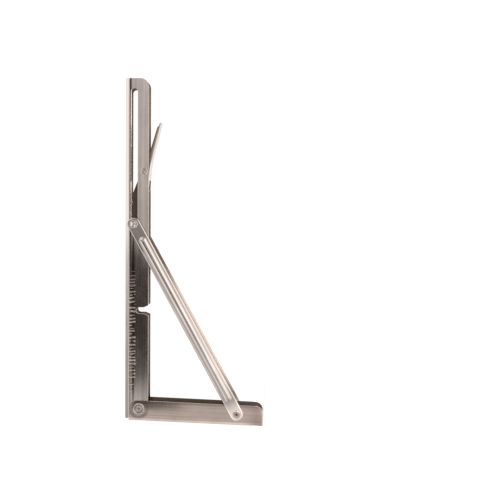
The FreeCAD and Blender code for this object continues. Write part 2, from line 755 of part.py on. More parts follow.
def ringed_head(radius):
    """Corners of a riveted head with a raised ring, a groove and a dimpled boss."""
    return [
        (radius, f"{radius}_top", "head_edge"),
        (f"{radius}_ring", f"{radius}_top", "head_edge"),
        (f"{radius}_ring", f"{radius}_floor"),
        (f"{radius}_boss", f"{radius}_floor"),
        (f"{radius}_boss", f"{radius}_top", "head_edge"),
        (f"{radius}_dimple", f"{radius}_top"),
        ("0", f"{radius}_floor"),
    ]


def dished_head(radius):
    """Corners of a riveted head with a lip round a smooth bowl."""
    return [
        (radius, f"{radius}_top", "head_edge"),
        (f"{radius}_lip", f"{radius}_top"),
        (f"{radius}_bowl", f"{radius}_floor", "head_bowl_round"),
        ("0", f"{radius}_floor"),
    ]


def domed_head(radius):
    """Corners of a riveted head with a round shoulder and a small dimple."""
    return [
        (radius, f"{radius}_top", "head_shoulder"),
        (f"{radius}_dimple", f"{radius}_top"),
        ("0", f"{radius}_floor"),
    ]


def on_shank(head, radius, face, shank_foot, shank_radius):
    """Puts a head's corners on those of its shank."""
    shank = [("0", shank_foot), (shank_radius, shank_foot), (shank_radius, face), (radius, face)]
    return shank + head(radius)


def turned_piece(sheet, label, corners, placement):
    """Makes a turned piece from its half profile: X is the radius, Y the height on its axis."""
    body = new_body(sheet, label)
    profile = new_sketch(sheet, body, f"{label}_profile", "XZ_Plane")
    add_outline(sheet, profile, corners)
    add_turn(body, f"{label}_turn", profile)
    body.Placement = placement
    return body


def double_headed(profile):
    """Mirrors a head's profile to the other end of its shank."""
    outer = profile[2:]
    other = [(corner[0], f"-{corner[1]}") + tuple(corner[2:]) for corner in reversed(outer)]
    return outer + other


def build_ring(sheet, label, inner, outer, low, high, placement):
    """Makes a flat ring between two named heights on its axis."""
    corners = [(inner, low), (outer, low), (outer, high), (inner, high)]
    return turned_piece(sheet, label, corners, placement)


def build_hinge(sheet):
    """The hinge pin, riveted over at both ends, and the thin washers beside the arm."""
    profile = double_headed(on_shank(ringed_head, "hinge_head_radius", "plate_half", "0", "hinge_radius"))
    pieces = [turned_piece(sheet, "hinge_pin", profile, across(hinge_point(sheet), -1))]
    for name, side in (("front", -1), ("back", 1)):
        pieces.append(build_ring(sheet, f"hinge_washer_{name}", "hinge_seat", "hinge_washer_radius",
                                 "hinge_washer_in", "plate_inner_half", across(hinge_point(sheet), side)))
    return pieces


def build_foot(sheet):
    """The pin across the wall channel at the struts' foot and a riveted end in each strut."""
    corners = [("0", "-plate_half"), ("foot_radius", "-plate_half"),
               ("foot_radius", "plate_half"), ("0", "plate_half")]
    pieces = [turned_piece(sheet, "foot_pin", corners, across(foot_point(sheet), -1))]
    profile = on_shank(domed_head, "foot_head_radius", "strut_out", "strut_in", "foot_radius")
    for name, side in (("front", -1), ("back", 1)):
        placement = across(foot_point(sheet), side)
        pieces.append(turned_piece(sheet, f"foot_rivet_{name}", profile, placement))
    return pieces


def build_slide(sheet):
    """The two rivets that run in the arm's slots, each with the spacer that keeps its strut
    clear of the wall channel."""
    outer = on_shank(dished_head, "slide_head_radius", "slide_head_face", "slide_inner_face", "slide_radius")
    inner = [("0", "slide_inner_end"), ("slide_inner_radius", "slide_inner_end"),
             ("slide_inner_radius", "slide_inner_face")]
    profile = inner + outer[1:]
    origin = on_arm(sheet, "pin_open", "slot_rise")
    pieces = []
    for name, side in (("front", -1), ("back", 1)):
        placement = across(origin, side)
        pieces.append(turned_piece(sheet, f"slide_rivet_{name}", profile, placement))
        pieces.append(build_ring(sheet, f"slide_spacer_{name}", "slide_seat", "slide_spacer_radius",
                                 "slide_spacer_in", "slide_spacer_out", placement))
    return pieces


def build_lever_mount(sheet):
    """The lever's pin, riveted over outside the arm, and the spacers that centre the lever."""
    origin = on_arm(sheet, "lever_pivot_run", "-lever_pivot_drop")
    profile = double_headed(on_shank(ringed_head, "lever_head_radius", "arm_half", "0", "lever_radius"))
    pieces = [turned_piece(sheet, "lever_pin", profile, across(origin, -1))]
    for name, side in (("front", -1), ("back", 1)):
        pieces.append(build_ring(sheet, f"lever_spacer_{name}", "lever_seat", "lever_spacer_radius",
                                 "lever_spacer_in", "arm_inner_half", across(origin, side)))
    return pieces


def build_spring(sheet):
    """The lever's torsion spring: a coil round the pin, one leg on the arm's web and one on
    the lever's web."""
    wire = value(sheet, "spring_wire")
    coil_radius = value(sheet, "lever_radius") + value(sheet, "spring_gap") + wire / 2
    pitch = value(sheet, "spring_pitch")
    height = pitch * value(sheet, "spring_turns")
    helix = Part.makeHelix(pitch, height, coil_radius, 0, True)
    start = V(coil_radius, 0, 0)
    section = Part.Wire(Part.Edge(Part.Circle(start, V(0, 1, 0), wire / 2)))
    coil = Part.Wire(helix).makePipeShell([section], True, True)
    lay_down = FreeCAD.Rotation(V(1, 0, 0), 90)
    start_on_top = FreeCAD.Rotation(V(0, 0, 1), 90)
    to_pin = FreeCAD.Placement(V(0, height / 2, 0), lay_down.multiply(start_on_top))
    coil = coil.transformed(to_pin.toMatrix())
    arm_leg = spring_leg(sheet, V(0, height / 2, coil_radius), arm_leg_end(sheet, height / 2))
    lever_leg = spring_leg(sheet, V(0, -height / 2, coil_radius), lever_leg_end(sheet, -height / 2))
    feature = sheet.Document.addObject("Part::Feature", "lever_spring")
    feature.Label = "lever_spring"
    feature.Shape = coil.fuse([arm_leg, lever_leg])
    feature.Placement = FreeCAD.Placement(on_arm(sheet, "lever_pivot_run", "-lever_pivot_drop"),
                                          arm_placement(sheet).Rotation)
    return feature


def arm_leg_end(sheet, y):
    """Where the first leg meets the inner face of the arm's web, between the prongs."""
    rise = value(sheet, "arm_web_in") + value(sheet, "lever_pivot_drop")
    room = value(sheet, "spring_wire") / 2 + value(sheet, "side_gap")
    return V(-value(sheet, "spring_reach"), y, rise - room)


def lever_leg_end(sheet, y):
    """Where the second leg lies on the inner face of the lever's web, under the thumb."""
    room = value(sheet, "spring_wire") / 2 + value(sheet, "side_gap")
    return V(value(sheet, "thumb_knee_run"), y, room - value(sheet, "web_in_knee"))


def spring_leg(sheet, start, end):
    """A straight leg, with a slightly fuller bend where it leaves the coil."""
    along = end - start
    leg = Part.makeCylinder(value(sheet, "spring_wire") / 2, along.Length, start, along)
    return leg.fuse(Part.makeSphere(value(sheet, "spring_knuckle") / 2, start))


def check_document(doc):
    """Stops if any object of the document is marked as failed."""
    for item in doc.Objects:
        if "Invalid" in item.State or "Error" in item.State:
            raise RuntimeError(f"{item.Label} failed: {item.State}")


def write_piece(piece):
    """Checks one sub-part's solid and writes it under its own name."""
    shape = piece.Shape
    if shape.isNull() or not shape.isValid() or not shape.Solids:
        raise RuntimeError(f"{piece.Label} has no valid solid")
    shape.exportStep(os.path.join("parts", f"{piece.Label}.step"))
    print(f"{piece.Label}: {len(shape.Solids)} solid, {shape.Volume:.1f} mm3")


def main():
    doc = FreeCAD.newDocument("folding_shelf_bracket")
    sheet = make_sheet(doc)
    pieces = [build_wall_plate(sheet), build_arm(sheet)]
    pieces += build_hinge(sheet)
    pieces += [build_strut(sheet, "strut_front", -1), build_strut(sheet, "strut_back", 1)]
    pieces += build_foot(sheet)
    pieces += build_slide(sheet)
    pieces.append(build_lever(sheet))
    pieces += build_lever_mount(sheet)
    pieces.append(build_spring(sheet))
    doc.recompute()
    check_document(doc)
    os.makedirs("parts", exist_ok=True)
    for piece in pieces:
        write_piece(piece)


main()
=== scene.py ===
"""Folding shelf bracket: finishes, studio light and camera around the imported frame.

Everything is in metres in the row frame: X out from the wall, Y across, Z up.
"""
import json
import math

import bpy
from mathutils import Matrix, Vector


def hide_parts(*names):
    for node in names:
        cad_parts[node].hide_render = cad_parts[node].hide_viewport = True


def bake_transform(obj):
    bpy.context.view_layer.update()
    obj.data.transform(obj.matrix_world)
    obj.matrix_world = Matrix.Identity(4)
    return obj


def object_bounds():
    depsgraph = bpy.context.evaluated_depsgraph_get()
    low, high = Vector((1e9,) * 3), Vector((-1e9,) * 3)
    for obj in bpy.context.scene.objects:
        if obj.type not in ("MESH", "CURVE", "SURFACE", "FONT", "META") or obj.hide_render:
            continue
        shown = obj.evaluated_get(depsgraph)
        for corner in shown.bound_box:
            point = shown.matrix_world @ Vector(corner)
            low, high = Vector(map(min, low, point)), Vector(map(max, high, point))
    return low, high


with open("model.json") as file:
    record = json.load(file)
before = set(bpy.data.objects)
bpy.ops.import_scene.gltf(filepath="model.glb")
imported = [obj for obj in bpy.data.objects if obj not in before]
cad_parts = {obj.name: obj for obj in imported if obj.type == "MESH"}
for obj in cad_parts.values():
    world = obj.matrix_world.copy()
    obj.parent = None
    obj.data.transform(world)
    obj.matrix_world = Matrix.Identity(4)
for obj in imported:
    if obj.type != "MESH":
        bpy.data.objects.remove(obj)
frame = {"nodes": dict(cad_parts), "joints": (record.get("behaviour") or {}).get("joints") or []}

CAD_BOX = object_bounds()
scene = bpy.context.scene

# Pins and directions of the pieces: from the record where it holds them, else from the CAD
JOINTS = {joint["name"]: joint for joint in frame["joints"]}
HINGE = Vector(JOINTS["arm_fold"]["pos_m"])
SLIDE = Vector(JOINTS["strut_swing"]["pos_m"])
PIVOT = Vector(JOINTS["lever_press"]["pos_m"])
FOOT = Vector((0.0098, 0.0, -0.0866))
ARM_ALONG = Vector(JOINTS["pin_slide"]["axis"]).normalized()
STRUT_ALONG = (FOOT - SLIDE).normalized()
PLATE_ALONG = Vector((0.0, 0.0, -1.0))
LEVER_ALONG = Vector((0.969, 0.0, -0.247)).normalized()

# Camera of the photograph: place, lens and turns about its up, right and forward axes
CAMERA_AT = Vector((0.19372, -1.51564, -0.09866))
CAMERA_LENS = 122.52
CAMERA_SENSOR = 36.0
CAMERA_CLIP = (0.05, 50.0)
CAMERA_YAW = 0.277
CAMERA_PITCH = -1.474
CAMERA_ROLL = -2.759

# Colours, linear. The four pairs after the steels are painted shade, from dark to pale, on faces
# inside the pieces and on the flanks of the lever's thumb
STEEL_STRUT = (0.65, 0.596, 0.578, 1.0)
STEEL_PLATE = (0.592, 0.505, 0.458, 1.0)
STEEL_ARM = (0.61, 0.557, 0.530, 1.0)
STEEL_LEVER = (0.64, 0.59, 0.55, 1.0)
STEEL_RIVET = (0.66, 0.612, 0.585, 1.0)
STEEL_SPRING = (0.42, 0.39, 0.36, 1.0)
FACE_SHADE_PLATE = ((0.23, 0.165, 0.132, 1.0), (0.34, 0.245, 0.195, 1.0))
FACE_SHADE_ARM = ((0.32, 0.25, 0.20, 1.0), (0.46, 0.36, 0.29, 1.0))
FACE_SHADE_STRUT = ((0.24, 0.18, 0.145, 1.0), (0.80, 0.67, 0.58, 1.0))
FACE_SHADE_LEVER = ((0.075, 0.058, 0.048, 1.0), (0.115, 0.09, 0.075, 1.0))
# Painted shade and painted dark reflections, and the wall channel's darker margins
PAINTED_DARK = (0.20, 0.16, 0.13, 1.0)
WASHER_WHITE = (0.78, 0.76, 0.72, 1.0)

# Where the painted face shade lies: two distances from the middle plane, lowest and highest rise
SHADE_FACES_PLATE = (0.0, 0.01645, -0.00855, 0.02)
SHADE_FACES_ARM = (0.0, 0.01385, -0.03, 0.01045)
SHADE_FACES_STRUT = (0.0, 0.01875, -0.02, 0.02)
SHADE_FACES_LEVER = (0.01130, 0.02, -0.05, 0.05)
SHADE_FACES_SOFT = 0.00002

# The values below name places in local coordinates: run along the piece from its pin, side
# for the distance from the middle plane, rise square to both. Two values are where something
# starts and where it is full. Three are its first and last limit and how soft they are. A
# triple and two values are a noise: its scales along run, side and rise, detail and roughness.

# Wall channel: bulge of the sides, dish and painted dark reflection round the hinge, darker free
# edges
PLATE_BULGE = 1.9
PLATE_BULGE_MIDDLE = -0.0017
DISH_REACH = (0.0052, 0.0095)
DISH_HEIGHT = 0.00003
HINGE_REFLECTION_REACH = (0.0060, 0.0088, 0.0011)
HINGE_REFLECTION_SLANT = 0.2
HINGE_REFLECTION_RISE = (-0.0005, -0.0045)
MARGIN_RISE = (0.0040, 0.0062)
MARGIN_DARKEST = 0.85

# Arm: how its sides ease into the bends
EASE_RISE = 0.004
EASE = 9.0

# Arm: crosswise press marks beside the bends, as the crests of a wave along the arm
MARK_PITCH = 0.0029
MARK_WOBBLE = ((160.0, 0.0, 50.0), 2.0, 0.5)
MARK_WOBBLE_TURN = 9.0
MARK_CREST = (0.20, 1.0)
MARK_HEIGHT = 0.000034
MARK_PATCHES = ((300.0, 0.0, 120.0), 2.0, 0.5)
MARK_PATCH_SHOWS = (0.42, 0.52)
MARK_RISE = (0.0038, 0.0082, 0.0006)
MARK_RUN = (0.024, 0.110, 0.014)

# Arm: painted highlight on its bends towards the free end, painted dark reflection towards the
# hinge
BEND_SIDE = (0.0126, 0.0132)
BEND_RISE = (0.0088, 0.0096)
BEND_HIGHLIGHT_RUN = (0.12, 0.17)
BEND_DARK_RUN = (0.13, 0.05)
BEND_DARK_MOST = 0.9
# A thin broken line of painted shade at the root of the bends, towards the free end
SHADE_LINE_RISE = (0.0078, 0.0086, 0.0004)
SHADE_LINE_RUN = (0.150, 0.160)
SHADE_LINE_BREAKS = ((170.0, 0.0, 0.0), 2.0, 0.5)
SHADE_LINE_SHOWS = (0.38, 0.50)
SHADE_LINE_LEAST = 0.45

# Strut: the bead's crest line, its flat crest and the painted shade along its foot
BEAD_MIDDLE = 0.09535
BEAD_REACH = 0.0784
CREST_HALF = 0.0026
CREST_DROP = 0.00023
BEAD_LINE_AWAY = (0.0031, 0.0038, 0.0003)
BEAD_LINE_END = (0.002, 0.0)

# Strut: how the bead pulls the margins down, where its face shade is pale, and its foot's painted
# light
PULL = 11.0
PULL_RUN = (0.0240, 0.1667, 0.008)
PALE_RUN_SLIDE = (0.042, 0.072)
PALE_RUN_FOOT = (0.176, 0.150)
PALE_AT_FOOT = 0.35
FOOT_LIGHT_RUN = (0.178, 0.186)

# Lever: painted shade on the folds of its thumb
THUMB_SIDE = (0.0098, 0.0113)
THUMB_RUN = (0.008, 0.012)

# Brushed sheet: its grains, which are noises drawn out along the piece, and where pores show
GRAIN_FINE = ((14.0, 2600.0, 2600.0), 3.0, 0.65)
GRAIN_COARSE = ((5.0, 420.0, 420.0), 2.0, 0.5)
GRAIN_CLOUD = ((28.0, 60.0, 60.0), 4.0, 0.6)
GRAIN_PORES = ((900.0, 900.0, 900.0), 2.0, 0.5)
PORES_SHOW = (0.72, 0.80)

# Brushed sheet: shares of two grains in the tone, the tone's span and the shades it runs through
TONE_FINE = 0.25
TONE_COARSE = 0.45
TONE_SPAN = (0.46, 0.74)
TONE_SHADES = (0.74, 1.16)

# Brushed sheet: how much pits, worn edges and painted darkening cover it, and shades of the steel
# in them and in painted light
PITS_COVER = 0.35
PITS_SHADE = 0.45
SHEET_WORN_COVER = 0.6
SHEET_WORN_SHADE = 1.45
PAINTED_LIGHT_SHADE = 1.52
PAINTED_DARK_COVER = 0.65

# Brushed sheet: how far its roughness strays, its anisotropy, and its relief as the shares of
# the grains and pits, the bump's strength and its height
ROUGH_STRAY = (-0.01, 0.02)
ANISOTROPY = 0.95
ANISOTROPY_TURN = 0.25
RELIEF_FINE = 0.7
RELIEF_COARSE = 0.3
RELIEF_PITS = 0.4
SHEET_RELIEF = (0.05, 0.00006)

# Painted face shade: scale, detail and roughness of its clouds
FACE_SHADE_CLOUD = (90.0, 3.0, 0.6)

# Turned steel: its rings and smudges as scale, detail and roughness, their shares in the tone,
# the shades it runs through, its worn edges, roughness and relief
RINGS = (3800.0, 2.0, 0.5)
SMUDGE = (380.0, 3.0, 0.55)
TONE_RINGS = 0.4
TONE_SMUDGE = 0.6
TURNED_SHADES = (0.66, 1.15)
TURNED_WORN_COVER = 0.85
TURNED_WORN_SHADE = 1.5
TURNED_ROUGH = (0.10, 0.24)
TURNED_RELIEF = (0.2, 0.00004)

# Plastic: its grain and clouds as scale, detail and roughness, its dark shade, roughness, relief
PLASTIC_GRAIN = (5200.0, 2.0, 0.5)
PLASTIC_CLOUD = (240.0, 3.0, 0.5)
PLASTIC_SHADE = 0.86
PLASTIC_ROUGH = (0.45, 0.62)
PLASTIC_RELIEF = (0.2, 0.00003)

# Span that holds most of a noise's values
NOISE_MIDDLE = (0.3, 0.7)

# Worn edges: how far they reach in, and how alike the rounded and the true normal are there
SHEET_EDGE = 0.0003
TURNED_EDGE = 0.0002
EDGE_LIKENESS = (0.999, 0.8)
EDGE_SAMPLES = 6

# Painted shade in the riveted heads' grooves and dimples: inner and outer radius, and how dark
GROOVES_HINGE = ((0.0028, 0.0036, 0.85), (0.0006, 0.0014, 0.75))
GROOVES_FOOT = ((0.0021, 0.0024, 0.45), (0.0, 0.0011, 0.92))
GROOVES_SLIDE = ((0.0024, 0.0029, 0.80), (0.0, 0.0022, 0.35))
GROOVES_LEVER = ((0.0016, 0.0021, 0.80), (0.0003, 0.0008, 0.60))
GROOVE_SOFT = 0.00018

# Floor: size, roughness, colour as it lights and as the steel mirrors it
FLOOR_GAP = 0.0005
FLOOR_HALF = 6.0
FLOOR_ROUGH = 0.9
FLOOR_PAPER = (0.86, 0.85, 0.84, 1.0)
FLOOR_MIRRORED = (0.50, 0.47, 0.44, 1.0)

# Floor's glow to the camera, which grows with the distance from the wall's foot
SEEN_DISTANCE = (0.25, 0.9)
SEEN_GLOW = (0.12, 0.7)

# Floor's glow in the steel: a pool before the object, cut off on both sides, and the far back
POOL_MIDDLE = (0.15, -0.12, CAD_BOX[0].z)
POOL_DISTANCE = (0.26, 0.70)
POOL_GLOW = (1.20, 0.0)
POOL_NEAR_WALL = (-0.03, 0.05)
POOL_FAR_END = (0.42, 0.26)
BACK_DISTANCE = (0.7, 1.4)
BACK_GLOW = (0.0, 0.45)

# Soft patches of the studio: direction, inner and outer half angle in degrees, linear colour
PATCHES = (
    (Vector((0.0, 1.0, 0.0)), 14.0, 40.0, (0.84, 0.815, 0.79, 1.0)),
    (Vector((1.0, 0.0, 0.0)), 25.0, 55.0, (1.05, 1.02, 0.99, 1.0)),
    (Vector((0.0, 0.0, 1.0)), 38.0, 66.0, (0.95, 0.92, 0.90, 1.0)),
    (Vector((-1.0, -0.25, 0.0)), 30.0, 60.0, (1.10, 1.06, 1.02, 1.0)),
    (Vector((0.0, -1.0, 0.0)), 18.0, 40.0, (0.80, 0.76, 0.73, 1.0)),
    (Vector((-0.24, -0.90, 0.36)), 8.0, 16.0, (1.15, 1.11, 1.08, 1.0)),
    (Vector((-0.36, -0.78, 0.51)), 8.0, 17.0, (1.55, 1.50, 1.45, 1.0)),
    (Vector((0.60, -0.64, 0.48)), 7.0, 15.0, (3.40, 3.30, 3.20, 1.0)),
)
ROOM = (0.42, 0.38, 0.35, 1.0)
PAPER_WHITE = (1.0, 1.0, 1.0, 1.0)
BACKDROP_STRENGTH = 1.05

# Dark things beside the camera: middle and half size along X and Z, how soft, how dark.
# They start where a direction's Y is at the first limit of the front, and are full at its second.
DARK_SHAPES = (
    ((-0.050, 0.095), (0.080, 0.090), 0.35, 0.22),
    ((-0.01, 0.222), (0.13, 0.048), 0.25, 0.95),
    ((-0.068, 0.114), (0.051, 0.075), 0.08, 1.0),
)
DARK_FRONT = (-0.20, -0.45)
DARK = (0.030, 0.022, 0.018, 1.0)

# The lamp: place, what it points at, size, power and colour
LAMP_AT = Vector((0.3, 0.3, 1.5))
LAMP_AIM = Vector((0.15, 0.0, -0.03))
LAMP_SIZE = 1.2
LAMP_POWER = 12.0
LAMP_COLOR = (1.0, 0.98, 0.96)


class Nodes:
    """Small helper that adds and joins nodes of one node tree."""

    def __init__(self, tree):
        self.tree = tree
        tree.nodes.clear()

    def add(self, kind, **settings):
        """A new node with these settings."""
        node = self.tree.nodes.new(kind)
        for name, setting in settings.items():
            setattr(node, name, setting)
        return node

    def link(self, out, into):
        """Joins an output to an input."""
        self.tree.links.new(out, into)

    def feed(self, socket, source):
        """Gives an input either a link from an output or a fixed value."""
        if isinstance(source, bpy.types.NodeSocket):
            self.link(source, socket)
        else:
            socket.default_value = source

    def math(self, operation, first, second=None):
        """Result of a Math node on outputs or numbers."""
        node = self.add("ShaderNodeMath", operation=operation)
        self.feed(node.inputs[0], first)
        if second is not None:
            self.feed(node.inputs[1], second)
        return node.outputs[0]

    def times(self, first, second):
        """Product of two outputs or numbers."""
        return self.math("MULTIPLY", first, second)

    def plus(self, first, second):
        """Sum of two outputs or numbers."""
        return self.math("ADD", first, second)

    def vector_math(self, operation, first, second=None):
        """A Vector Math node on outputs or triples."""
        node = self.add("ShaderNodeVectorMath", operation=operation)
        self.feed(node.inputs[0], first)
        if second is not None:
            self.feed(node.inputs[1], second)
        return node

    def stretched(self, vector, scales):
        """The vector with each axis scaled on its own."""
        return self.vector_math("MULTIPLY", vector, scales).outputs[0]

    def measured(self, operation, first, second=None):
        """A number from vectors, such as a length or a distance."""
        return self.vector_math(operation, first, second).outputs["Value"]

    def axis(self, vector, name):
        """The X, Y or Z part of a vector."""
        parts = self.add("ShaderNodeSeparateXYZ")
        self.link(vector, parts.inputs[0])
        return parts.outputs[name]

    def span(self, source, low, high, to_low=0.0, to_high=1.0, smooth=False):
        """Maps a value from one span to another and holds it at the ends."""
        kind = "SMOOTHERSTEP" if smooth else "LINEAR"
        node = self.add("ShaderNodeMapRange", clamp=True, interpolation_type=kind)
        self.link(source, node.inputs["Value"])
        for name, number in (("From Min", low), ("From Max", high),
                             ("To Min", to_low), ("To Max", to_high)):
            node.inputs[name].default_value = number
        return node.outputs["Result"]

    def within(self, source, low, high, soft):
        """One where a value lies between two limits."""
        above = self.span(source, low - soft, low + soft)
        below = self.span(source, high + soft, high - soft)
        return self.times(above, below)

    def noise(self, vector, scale, detail, roughness):
        """Value of a noise texture."""
        node = self.add("ShaderNodeTexNoise")
        self.link(vector, node.inputs["Vector"])
        node.inputs["Scale"].default_value = scale
        node.inputs["Detail"].default_value = detail
        node.inputs["Roughness"].default_value = roughness
        return node.outputs["Fac"]

    def grain(self, vector, scales, detail, roughness):
        """Value of a noise that is stretched along the axes."""
        return self.noise(self.stretched(vector, scales), 1.0, detail, roughness)

    def mix(self, factor, first, second):
        """Mix of two colours; each is an output or a tuple."""
        node = self.add("ShaderNodeMix", data_type="RGBA")
        self.link(factor, node.inputs[0])
        for name, source in (("A", first), ("B", second)):
            socket = next(s for s in node.inputs if s.name == name and s.type == "RGBA")
            self.feed(socket, source)
        return next(s for s in node.outputs if s.type == "RGBA")

    def cover(self, base, mask, share, color):
        """A colour that another covers, by this share, where a mask is one."""
        return self.mix(self.times(mask, share), base, color)

    def bump(self, height, strength, distance, normal=None):
        """Normal of a surface that is raised by a height."""
        node = self.add("ShaderNodeBump")
        node.inputs["Strength"].default_value = strength
        node.inputs["Distance"].default_value = distance
        self.link(height, node.inputs["Height"])
        if normal is not None:
            self.link(normal, node.inputs["Normal"])
        return node.outputs[0]


def scaled(color, factor):
    """A colour made lighter or darker."""
    return tuple(part * factor for part in color[:3]) + (1.0,)


def new_material(name):
    """A material with an empty node tree and its principled shader."""
    material = bpy.data.materials.new(name)
    material.use_nodes = True
    nodes = Nodes(material.node_tree)
    shader = nodes.add("ShaderNodeBsdfPrincipled")
    output = nodes.add("ShaderNodeOutputMaterial")
    nodes.link(shader.outputs[0], output.inputs["Surface"])
    return material, nodes, shader


def local_vector(nodes, origin, along):
    """Object coordinates seen from an origin: X runs along a direction, Y across, Z rises."""
    coords = nodes.add("ShaderNodeTexCoord")
    shifted = nodes.vector_math("SUBTRACT", coords.outputs["Object"], origin).outputs[0]
    turn = nodes.add("ShaderNodeVectorRotate", rotation_type="Y_AXIS")
    nodes.link(shifted, turn.inputs["Vector"])
    turn.inputs["Angle"].default_value = math.atan2(along.z, along.x)
    return turn.outputs[0]


def side_of(nodes, local):
    """Distance from the middle plane."""
    return nodes.math("ABSOLUTE", nodes.axis(local, "Y"))


def from_axle(nodes, local):
    """Distance from the axle through the local origin."""
    return nodes.measured("LENGTH", nodes.stretched(local, (1.0, 0.0, 1.0)))


def bulge(nodes, across, middle, bend):
    """Height of a face that bulges: its normals lean outwards from the middle."""
    off = nodes.math("SUBTRACT", across, middle)
    return nodes.times(nodes.times(off, off), -bend)


def plate_form(nodes, local):
    """The wall channel's sides bulge a little and are dished round the hinge's head."""
    dish = nodes.span(from_axle(nodes, local), *DISH_REACH, 0.0, DISH_HEIGHT, smooth=True)
    bulged = bulge(nodes, nodes.axis(local, "Z"), PLATE_BULGE_MIDDLE, PLATE_BULGE)
    return nodes.plus(bulged, dish)


def plate_reflection_and_margins(nodes, local):
    """A painted dark reflection in a crescent under the hinge's head, and darker margins along the
    free edges.
    """
    run, rise = nodes.axis(local, "X"), nodes.axis(local, "Z")
    # Painted dark reflection in a crescent under the hinge's head
    ring = nodes.within(from_axle(nodes, local), *HINGE_REFLECTION_REACH)
    below = nodes.span(nodes.plus(nodes.times(run, HINGE_REFLECTION_SLANT), rise), *HINGE_REFLECTION_RISE)
    margin = nodes.span(rise, *MARGIN_RISE, 0.0, MARGIN_DARKEST)
    return nodes.math("MAXIMUM", nodes.times(ring, below), margin)


def arm_form(nodes, local):
    """The arm's sides ease into the bends, and short crosswise press marks lie beside them."""
    run, rise = nodes.axis(local, "X"), nodes.axis(local, "Z")
    near_bend = nodes.math("MAXIMUM", nodes.math("SUBTRACT", rise, EASE_RISE), 0.0)
    ease = nodes.times(nodes.times(near_bend, near_bend), -EASE)
    wobble = nodes.times(nodes.grain(local, *MARK_WOBBLE), MARK_WOBBLE_TURN)
    wave = nodes.math("SINE", nodes.plus(nodes.times(run, math.tau / MARK_PITCH), wobble))
    marks = nodes.span(wave, *MARK_CREST, 0.0, MARK_HEIGHT, smooth=True)
    patches = nodes.grain(local, *MARK_PATCHES)
    marks = nodes.times(marks, nodes.span(patches, *MARK_PATCH_SHOWS))
    marks = nodes.times(marks, nodes.within(rise, *MARK_RISE))
    marks = nodes.times(marks, nodes.within(run, *MARK_RUN))
    return nodes.plus(ease, marks)


def on_arm_bend(nodes, local):
    """One on the outside of the arm's two bends."""
    return nodes.times(nodes.span(side_of(nodes, local), *BEND_SIDE),
                       nodes.span(nodes.axis(local, "Z"), *BEND_RISE))


def arm_painted_highlight(nodes, local):
    """Painted highlight on the bends towards the arm's free end."""
    return nodes.times(on_arm_bend(nodes, local), nodes.span(nodes.axis(local, "X"), *BEND_HIGHLIGHT_RUN))


def arm_painted_dark(nodes, local):
    """Painted dark reflection on the bends towards the hinge, and a thin broken line of painted
    shade to the free end.
    """
    run, rise = nodes.axis(local, "X"), nodes.axis(local, "Z")
    # Painted dark reflection on the bends towards the hinge
    dark_reflection = nodes.times(on_arm_bend(nodes, local), nodes.span(run, *BEND_DARK_RUN, 0.0, BEND_DARK_MOST))
    # A thin broken line of painted shade at the root of the bends
    line = nodes.times(nodes.within(rise, *SHADE_LINE_RISE), nodes.span(run, *SHADE_LINE_RUN))
    breaks = nodes.grain(local, *SHADE_LINE_BREAKS)
    line = nodes.times(line, nodes.span(breaks, *SHADE_LINE_SHOWS, SHADE_LINE_LEAST, 1.0))
    return nodes.math("MAXIMUM", dark_reflection, line)


def from_bead(nodes, local):
    """How far past the ends of the bead's crest line, and how far from that line."""
    run, rise = nodes.axis(local, "X"), nodes.axis(local, "Z")
    from_middle = nodes.math("ABSOLUTE", nodes.math("SUBTRACT", run, BEAD_MIDDLE))
    past = nodes.math("MAXIMUM", nodes.math("SUBTRACT", from_middle, BEAD_REACH), 0.0)
    away = nodes.math("SQRT", nodes.plus(nodes.times(past, past), nodes.times(rise, rise)))
    return past, away


def strut_form(nodes, local):
    """The bead draws the strut's margins down on both sides, and its crest is flat."""
    run, rise = nodes.axis(local, "X"), nodes.axis(local, "Z")
    pulled = nodes.times(bulge(nodes, rise, 0.0, PULL), nodes.within(run, *PULL_RUN))
    away = from_bead(nodes, local)[1]
    return nodes.plus(pulled, nodes.span(away, 0.0, CREST_HALF, 0.0, CREST_DROP, smooth=True))


def strut_painted_shade(nodes, local):
    """Painted shade in a line along the foot of the strut's bead."""
    past, away = from_bead(nodes, local)
    return nodes.times(nodes.within(away, *BEAD_LINE_AWAY), nodes.span(past, *BEAD_LINE_END))


def strut_painted_light(nodes, local):
    """Painted light: the strut's foot is lighter."""
    return nodes.span(nodes.axis(local, "X"), *FOOT_LIGHT_RUN)


def strut_face_shade(nodes, local):
    """Painted shade on the strut's inner face: pale in its middle and brown towards both pins."""
    run = nodes.axis(local, "X")
    pale = nodes.times(nodes.span(run, *PALE_RUN_SLIDE),
                       nodes.span(run, *PALE_RUN_FOOT, PALE_AT_FOOT, 1.0))
    return nodes.mix(pale, *FACE_SHADE_STRUT)


def lever_painted_shade(nodes, local):
    """Painted shade that fades over the thumb's folds towards its flat."""
    return nodes.times(nodes.span(side_of(nodes, local), *THUMB_SIDE),
                       nodes.span(nodes.axis(local, "X"), *THUMB_RUN))


def clouded_shade(dark, pale):
    """Makes a painted shade with clouds between two tones."""
    def face_shade(nodes, local):
        return nodes.mix(nodes.noise(local, *FACE_SHADE_CLOUD), dark, pale)
    return face_shade


def shade_faces_mask(nodes, local, near, far, low, high):
    """One on the faces between two distances from the middle plane and two heights."""
    depth = nodes.within(side_of(nodes, local), near, far, SHADE_FACES_SOFT)
    return nodes.times(depth, nodes.within(nodes.axis(local, "Z"), low, high, SHADE_FACES_SOFT))


def edge_wear(nodes, radius):
    """The normal with rounded edges, and a mask that is one on the edges and zero on flats."""
    bevel = nodes.add("ShaderNodeBevel", samples=EDGE_SAMPLES)
    bevel.inputs["Radius"].default_value = radius
    geometry = nodes.add("ShaderNodeNewGeometry")
    likeness = nodes.measured("DOT_PRODUCT", bevel.outputs[0], geometry.outputs["True Normal"])
    return bevel.outputs[0], nodes.span(likeness, *EDGE_LIKENESS)


